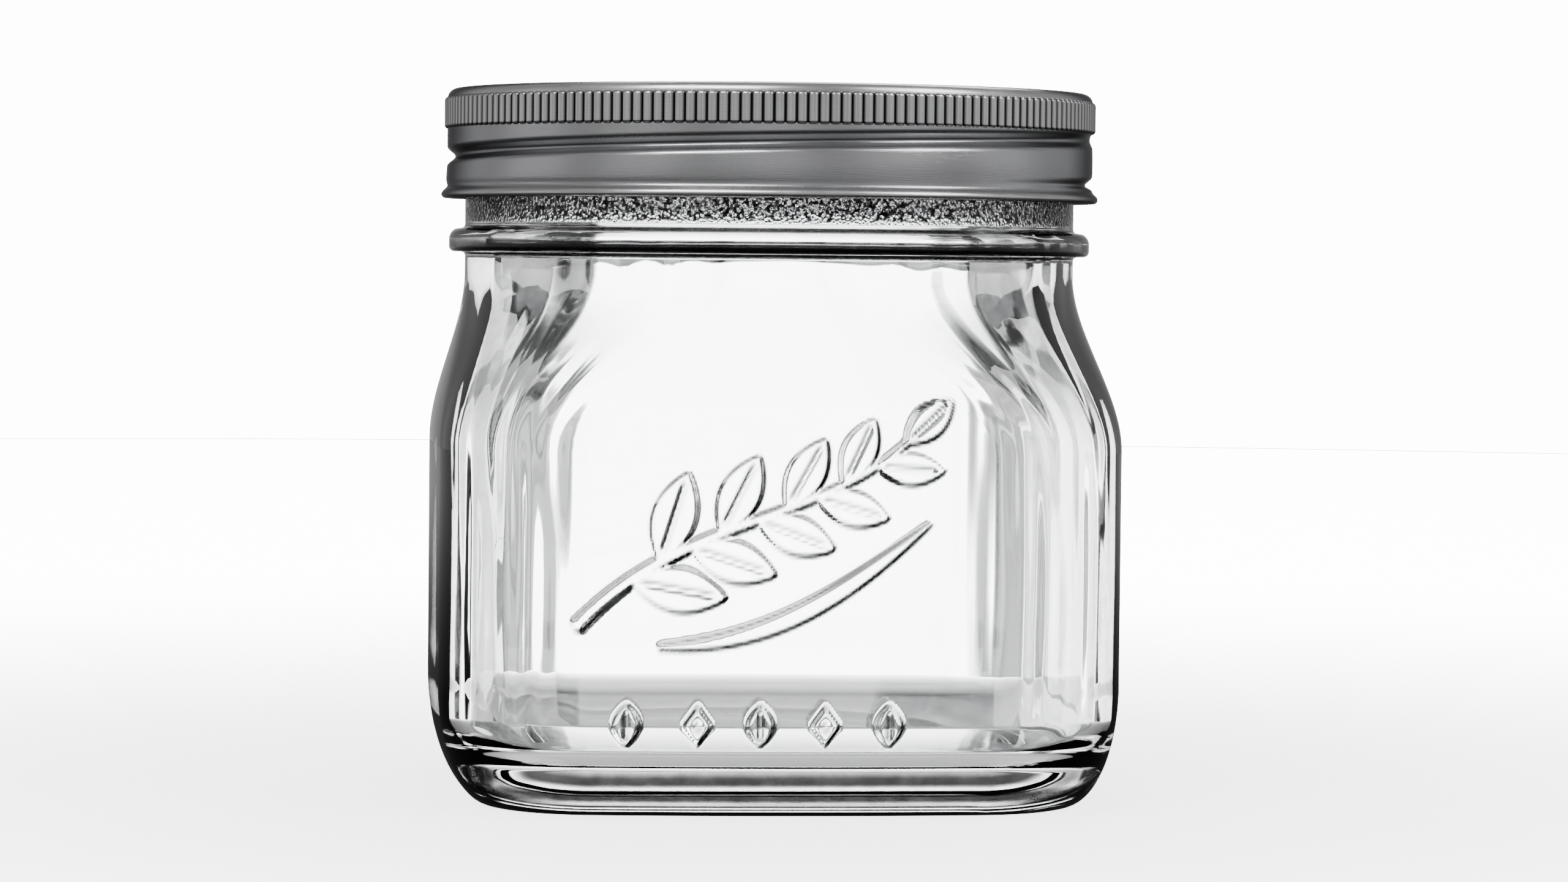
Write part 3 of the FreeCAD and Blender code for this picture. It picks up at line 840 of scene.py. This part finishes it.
def glass_material(sizes):
    """Clear soda-lime glass with a pebbled strip round the neck and painted shade in its hollows and pits.

    Its colour is painted darker where it turns edge on, as painted shade.
    """
    material, sheet, shader = new_material("clear_glass")
    place = sheet.place()
    bead = sizes.bead_foot + sizes.bead_height
    strip = use_group(sheet, pebble_group, {"Position": place, "Scale": 2100.0, "Low": bead + 0.6 * MM,
                                            "High": bead + sizes.strip_top})["Height"]
    bump = sheet.node("ShaderNodeBump", {"Height": strip, "Strength": 1.0, "Distance": MM})
    # Painted shade: the stored shade, the pebbled strip's pits, and a darkening where the glass turns edge
    # on.
    pits = sheet.times(sheet.math("MAXIMUM", sheet.times(strip, -1.0), 0.0), 1.7)
    painted_shade = sheet.math("ADD", sheet.math("MAXIMUM", sheet.mark("Hollow"), pits),
                        sheet.ramp(sheet.facing(), 0.13, 0.7, 0.0, 0.2))
    glass_shade = use_group(sheet, glass_shade_group, {"Hollow": painted_shade, "Position": place,
                                         "Color": sizes.clear})
    sheet.put(shader["Base Color"], glass_shade["Color"])
    sheet.put(shader["Normal"], bump.outputs[0])
    shader["Roughness"].default_value = 0.0
    shader["IOR"].default_value = 1.52
    shader["Transmission Weight"].default_value = 1.0
    return material


BAND_METAL = {"rough": 0.24, "round": 10.0, "across": 11000.0, "relief": 0.04 * MM, "turned": 0.85}
LID_METAL = {"rough": 0.22, "round": 12.0, "across": 9000.0, "relief": 0.03 * MM, "turned": 0.25}


def metal_material(name, sizes, look):
    """Rolled tinplate: fine turned grain, faint smudges, bright worn edges that are partly a painted
    highlight, and painted shade in its hollows.

    Its colour is painted darker by its turned share where it turns edge on, as painted shade.
    """
    material, sheet, shader = new_material(name)
    coordinates = sheet.node("ShaderNodeTexCoord").outputs
    place = coordinates["Object"]
    grain = use_group(sheet, brushed_group, {"Profile UV": coordinates["UV"], "Round": look["round"],
                                             "Across": look["across"], "Roughness": look["rough"],
                                             "Spread": 0.14})
    smudge = use_group(sheet, handling_group, {"Position": place, "Roughness": grain["Roughness"],
                                               "Scale": 55.0, "Amount": 0.35, "Clean": sizes.clean,
                                               "Dull": sizes.dull})
    # Worn edges brightened in colour, as wear and as a painted highlight.
    worn_and_highlit = use_group(sheet, wear_and_highlight_group, {"Color": smudge["Color"], "Edge": sheet.mark("Edge"),
                                         "Position": place})
    # Painted shade in the hollows, from the stored attribute.
    shaded = use_group(sheet, painted_shade_group, {"Color": worn_and_highlit["Color"], "Hollow": sheet.mark("Hollow")})
    turned = sheet.ramp(sheet.facing(), 0.45, 0.9, 0.0, look["turned"])
    bump = sheet.node("ShaderNodeBump", {"Height": grain["Height"], "Strength": 0.35,
                                         "Distance": look["relief"]})
    # Painted shade: the colour goes towards near black where the metal turns edge on.
    sheet.put(shader["Base Color"], sheet.mix(turned, shaded["Color"], (0.02, 0.02, 0.022, 1.0)))
    sheet.put(shader["Roughness"], smudge["Roughness"])
    sheet.put(shader["Normal"], bump.outputs[0])
    shader["Specular Tint"].default_value = (0.45, 0.45, 0.46, 1.0)
    shader["Metallic"].default_value = 1.0
    return material


def seal_material(sizes):
    """Matt grey sealing compound."""
    material, sheet, shader = new_material("seal_compound")
    smudge = use_group(sheet, handling_group, {"Position": sheet.place(), "Scale": 400.0, "Amount": 0.5,
                                               "Roughness": 0.55, "Clean": sizes.seal,
                                               "Dull": sizes.seal_dull})
    sheet.put(shader["Base Color"], smudge["Color"])
    sheet.put(shader["Roughness"], smudge["Roughness"])
    return material


# ---------------------------------------------------------------- stage


def fading(sheet, exponent, level):
    """A level times ten to the power of a socket, so that a dark falls off evenly to the eye."""
    return sheet.times(sheet.math("POWER", 10.0, exponent), level)


def lobes(sheet, place, sizes):
    """Eight even lobes round the axis, from -1 to 1: the cosine of eight times the direction.

    They are turned so that the camera looks midway between two of them.
    """
    parts = sheet.axes(place)
    direction = sheet.math("SUBTRACT", sheet.math("ARCTAN2", parts["Y"], parts["X"]),
                           math.radians(22.5) + sizes.azimuth)
    return sheet.math("COSINE", sheet.times(direction, 8.0))


def glow_material(name):
    """An emission material with its sheet and the input that takes its strength."""
    material = bpy.data.materials.new(name)
    material.use_nodes = True
    sheet = Sheet(material.node_tree)
    sheet.tree.nodes.clear()
    glow = sheet.node("ShaderNodeEmission", {"Color": (1.0, 1.0, 1.0, 1.0)})
    sheet.node("ShaderNodeOutputMaterial", {"Surface": glow.outputs[0]})
    material.cycles.emission_sampling = "NONE"
    return material, sheet, glow.inputs["Strength"]


def mirrored(sheet, ray):
    """1 for a ray that was last mirrored in metal or on glass, and 0 for any other."""
    return sheet.times(ray["Is Glossy Ray"], sheet.math("SUBTRACT", 1.0, ray["Is Transmission Ray"]))


def room_material(sizes):
    """A plain white room, as bright as the eye needs it in each kind of ray.

    Seen directly or through glass it is white and falls off overhead. Mirrored in metal it is softer, with
    faint upright bands.
    """
    material, sheet, strength = glow_material("room_white")
    ray = sheet.node("ShaderNodeLightPath").outputs
    place = sheet.place()
    height = sheet.axes(place)["Z"]
    seen = fading(sheet, sheet.ramp(height, 0.45, 1.35, 0.0, -1.8), sizes.white)
    soft = sheet.ramp(height, 0.1, 1.3, 0.5, 0.3)
    gloss = sheet.times(soft, sheet.ramp(lobes(sheet, place, sizes), -0.4, 1.0, 1.0, 0.6))
    mirror = mirrored(sheet, ray)
    rest = sheet.math("SUBTRACT", 1.0, sheet.math("MAXIMUM", mirror, ray["Is Diffuse Ray"]))
    total = sheet.math("ADD", sheet.times(seen, rest), sheet.times(gloss, mirror))
    sheet.put(strength, sheet.math("ADD", total, sheet.times(ray["Is Diffuse Ray"], sizes.bounce)))
    return material


def surround_material(sizes):
    """A soft dark surround with eight uneven upright bands, white between them."""
    material, sheet, strength = glow_material("surround_soft")
    place = sheet.place()
    band = sheet.ramp(lobes(sheet, place, sizes), 0.5, 0.93, 0.0, -2.6)
    stretched = sheet.node("ShaderNodeVectorMath", {0: place, 1: (1.0, 1.0, 0.28)}, operation="MULTIPLY")
    uneven = sheet.ramp(sheet.noise(stretched.outputs[0], 70.0, 2.0), 0.3, 0.7, 0.55, 1.15)
    sheet.put(strength, fading(sheet, sheet.times(band, uneven), sizes.white))
    return material


def floor_material(sizes):
    """A plain pale floor that takes a soft shadow near the jar, deepened there by a painted shadow, and is as
    white as the room further out.

    Seen through glass or mirrored, it is painted dark close to the jar, as a painted shadow.
    """
    material, sheet, shader = new_material("floor_pale")
    ray = sheet.node("ShaderNodeLightPath").outputs
    away = sheet.node("ShaderNodeVectorMath", {0: sheet.place()}, operation="LENGTH").outputs["Value"]
    # Painted shadow: seen directly, the floor glows less near the jar.
    direct = sheet.times(sheet.ramp(away, 0.05, 0.45, 3.2, sizes.white - 0.8), ray["Is Camera Ray"])
    # Painted shadow seen through the glass: the floor is darker close to the jar.
    fall = sheet.ramp(away, 0.05, 0.17, -1.2, 0.0)
    through = sheet.times(fading(sheet, fall, sizes.white), ray["Is Transmission Ray"])
    # Painted shade in mirrored rays, darker close to the jar.
    mirror = sheet.times(sheet.ramp(away, 0.06, 0.9, 0.03, 0.36), mirrored(sheet, ray))
    total = sheet.math("ADD", direct, sheet.math("ADD", through, mirror))
    sheet.put(shader["Emission Strength"], total)
    sheet.put(shader["Base Color"], sheet.times(sheet.math("SUBTRACT", 1.0, ray["Is Glossy Ray"]), 0.86))
    shader["Roughness"].default_value = 0.9
    shader["Specular IOR Level"].default_value = 0.0
    shader["Emission Color"].default_value = (1.0, 1.0, 1.0, 1.0)
    material.cycles.emission_sampling = "NONE"
    return material


def stage_surface(name, rows, columns, material):
    """A plain turned surface of the stage."""
    turn = np.linspace(0.0, TURN, columns, endpoint=False)
    points = round_points(np.asarray(rows, float), turn)
    count = len(rows)
    row, col = np.meshgrid(np.arange(count - 1), np.arange(columns), indexing="ij")
    beside = (col + 1) % columns
    faces = np.stack([row * columns + col, row * columns + beside, (row + 1) * columns + beside,
                      (row + 1) * columns + col], -1).reshape(-1, 4)
    mesh = bpy.data.meshes.new(name)
    mesh.from_pydata(points.reshape(-1, 3).tolist(), [], faces.tolist())
    mesh.materials.append(material)
    mesh.shade_smooth()
    made = bpy.data.objects.new(name, mesh)
    bpy.context.scene.collection.objects.link(made)
    return made


def area_light(name, place, target, size, power):
    """A square soft light aimed at a point."""
    data = bpy.data.lights.new(name, "AREA")
    data.shape = "RECTANGLE"
    data.size, data.size_y = size
    data.energy = power
    made = bpy.data.objects.new(name, data)
    bpy.context.scene.collection.objects.link(made)
    away = Vector(place) - Vector(target)
    made.matrix_world = Matrix.Translation(place) @ away.to_track_quat("Z", "Y").to_matrix().to_4x4()
    return made


def add_camera(sizes):
    """The camera, level with the jar's bead and turned a little to its left."""
    data = bpy.data.cameras.new("camera")
    data.lens = sizes.focal
    data.sensor_width = 36.0
    data.clip_start = 0.01
    made = bpy.data.objects.new("camera", data)
    bpy.context.scene.collection.objects.link(made)
    place = Vector((math.sin(sizes.azimuth), -math.cos(sizes.azimuth), 0.0)) * sizes.distance
    place.z = sizes.eye
    made.matrix_world = (Matrix.Translation(place)
                         @ Matrix.Rotation(sizes.azimuth + sizes.yaw, 4, "Z")
                         @ Matrix.Rotation(math.pi / 2 + sizes.pitch, 4, "X")
                         @ Matrix.Rotation(sizes.roll, 4, "Z"))
    bpy.context.scene.camera = made
    return made


# ---------------------------------------------------------------- operators


class Sized:
    """A group's sizes together with sizes measured on the CAD frame."""

    def __init__(self, sizes, **measured):
        for key in type(sizes).__annotations__:
            setattr(self, key, getattr(sizes, key))
        for key, value in measured.items():
            setattr(self, key, value)


def ring_width(node):
    """Width of a ring, from the distances of its CAD node's vertices to the axis."""
    places = np.array([vertex.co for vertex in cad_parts[node].data.vertices], float)
    radius = np.hypot(places[:, 0], places[:, 1])
    return float(radius.max() - radius.min())


class BuildGlass(bpy.types.Operator):
    """Build the moulded glass jar with its thread, bead and embossed front"""

    bl_idname = "canning_jar.build_glass"
    bl_label = "Build Glass Jar"

    def execute(self, context):
        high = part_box("glass_jar")[1]
        sizes = Sized(context.scene.jar_glass, half=high.x)
        points, columns, painted_shade = glass_points(sizes, context.scene.jar_thread, high.z)
        mesh = grid_mesh("glass_jar_body", points, along(points[:, 0, :]), columns,
                         [(0.0, 0.0, sizes.push_up), (0.0, 0.0, sizes.floor)])
        # Painted shade beside the relief, round the bead and at the heel.
        shade_by(mesh, "Hollow", np.append(painted_shade, (0.0, 0.0)))
        add_piece("glass_jar_body", mesh, glass_material(sizes), "jar", "clear_glass", "glass_jar")
        return {"FINISHED"}


class BuildBand(bpy.types.Operator):
    """Build the screw band: a rolled sheet with its thread, and the knurled sleeve"""

    bl_idname = "canning_jar.build_band"
    bl_label = "Build Screw Band"

    def execute(self, context):
        low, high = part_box("screw_band")
        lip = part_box("glass_jar")[1].z
        sizes = Sized(context.scene.jar_band, flare=high.x)
        thread = context.scene.jar_thread
        columns = np.linspace(0.0, TURN, BAND_COLUMNS, endpoint=False)
        path, weight, edge = band_profile(sizes, low.z, high.z)
        turn, z = columns[None, :], path[:, 1:]
        inner = (path[:, 0] < sizes.radius - sizes.sheet * 0.5)[:, None]
        pressed = np.where(inner, groove_depth(turn, z, lip, thread, sizes.sheet * 0.6),
                           groove_depth(turn, z, lip, thread)) * weight[:, None]
        points = round_points(path, columns, -pressed)
        mesh = grid_mesh("screw_band_sheet", points, along(path), columns / TURN)
        steel = metal_material("band_metal", sizes, BAND_METAL)
        # Painted shade in the rolled groove, deeper where the groove presses in further.
        shade_by(mesh, "Hollow", 0.3 * np.clip(pressed / thread.depth, 0.0, 1.0) ** 2)
        # Worn edges that also take a painted highlight.
        shade_by(mesh, "Edge", np.repeat(edge, len(columns)))
        add_piece("screw_band_sheet", mesh, steel, "band", "band_metal", "screw_band")
        columns = np.linspace(0.0, TURN, sizes.flutes * FLUTE_COLUMNS, endpoint=False)
        points, painted_shade, edge = knurl_points(sizes, columns)
        mesh = grid_mesh("screw_band_knurl", points, along(points[:, 0, :]), columns / TURN)
        # Painted shade in the valleys between the flutes.
        shade_by(mesh, "Hollow", painted_shade)
        shade_by(mesh, "Edge", edge)
        add_piece("screw_band_knurl", mesh, steel, "band", "band_metal")
        return {"FINISHED"}


class BuildLid(bpy.types.Operator):
    """Build the stamped lid and its sealing ring"""

    bl_idname = "canning_jar.build_lid"
    bl_label = "Build Lid"

    def execute(self, context):
        low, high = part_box("lid_disc")
        sizes = context.scene.jar_lid
        columns = np.linspace(0.0, TURN, LID_COLUMNS, endpoint=False)
        path = lid_profile(sizes, high.x, low.z, high.z)
        mesh = grid_mesh("lid_disc_sheet", round_points(path, columns), along(path), columns / TURN,
                         [(0.0, 0.0, path[0, 1]), (0.0, 0.0, path[-1, 1])])
        steel = metal_material("lid_metal", sizes, LID_METAL)
        add_piece("lid_disc_sheet", mesh, steel, "lid", "lid_metal", "lid_disc")
        low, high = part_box("sealing_ring")
        path = seal_profile(low.z, high.z, high.x - ring_width("sealing_ring"), high.x)
        mesh = grid_mesh("sealing_ring_bead", round_points(path, columns), along(path), columns / TURN)
        add_piece("sealing_ring_bead", mesh, seal_material(sizes), "lid", "seal_compound", "sealing_ring")
        return {"FINISHED"}


class BuildStage(bpy.types.Operator):
    """Build the plain floor, the white room, the lights and the camera"""

    bl_idname = "canning_jar.build_stage"
    bl_label = "Build Stage"

    def execute(self, context):
        sizes = context.scene.jar_stage
        room, tall = sizes.radius, sizes.height
        cove = bend_points((room - 0.3, 0.3), 0.3, -90.0, 0.0, 12)
        stage_surface("floor", [(0.001, -0.0002), (0.3, -0.0002), (room - 0.3, -0.0002)], ROOM_COLUMNS,
                      floor_material(sizes))
        stage_surface("room", np.concatenate([cove, [(room, tall), (0.001, tall + 0.02)]]), ROOM_COLUMNS,
                      room_material(sizes))
        edge = [(sizes.surround, 0.0), (sizes.surround, sizes.surround_height)]
        ring = stage_surface("surround", edge, SURROUND_COLUMNS, surround_material(sizes))
        ring.visible_camera = False
        ring.visible_diffuse = False
        ring.visible_glossy = False
        ring.visible_shadow = False
        target = (0.0, 0.0, 0.06)
        area_light("key", (-0.35, -0.55, 0.75), target, (0.55, 0.35), 5.0)
        area_light("fill", (0.55, -0.35, 0.55), target, (0.35, 0.45), 2.5)
        area_light("back", (0.15, 0.65, 0.75), target, (0.6, 0.3), 4.0)
        add_camera(sizes)
        return {"FINISHED"}


class JarPanel(bpy.types.Panel):
    """Sidebar panel with the builder's buttons and sizes"""

    bl_idname = "VIEW3D_PT_canning_jar"
    bl_label = "Canning Jar"
    bl_space_type = "VIEW_3D"
    bl_region_type = "UI"
    bl_category = "Canning Jar"

    def draw(self, context):
        for operator in OPERATORS:
            self.layout.operator(operator.bl_idname)
        for group in SETTINGS:
            box = self.layout.box()
            settings = getattr(context.scene, group)
            for key in type(settings).__annotations__:
                box.prop(settings, key)


OPERATORS = (BuildGlass, BuildBand, BuildLid, BuildStage)
SETTINGS = {"jar_glass": GlassSizes, "jar_thread": ThreadSizes, "jar_band": BandSizes, "jar_lid": LidSizes,
            "jar_stage": StageSizes}


def register():
    """Registers the classes and hangs the sizes on the scene."""
    for cls in (*SETTINGS.values(), *OPERATORS, JarPanel):
        bpy.utils.register_class(cls)
    for name, group in SETTINGS.items():
        setattr(bpy.types.Scene, name, PointerProperty(type=group))


def unregister():
    """Takes away what register added."""
    for name in SETTINGS:
        delattr(bpy.types.Scene, name)
    for cls in (JarPanel, *OPERATORS, *SETTINGS.values()):
        bpy.utils.unregister_class(cls)


def main():
    """Registers the add-on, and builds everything."""
    register()
    bpy.ops.canning_jar.build_glass()
    bpy.ops.canning_jar.build_band()
    bpy.ops.canning_jar.build_lid()
    bpy.ops.canning_jar.build_stage()
    bpy.context.view_layer.update()


if __name__ == "__main__":
    main()
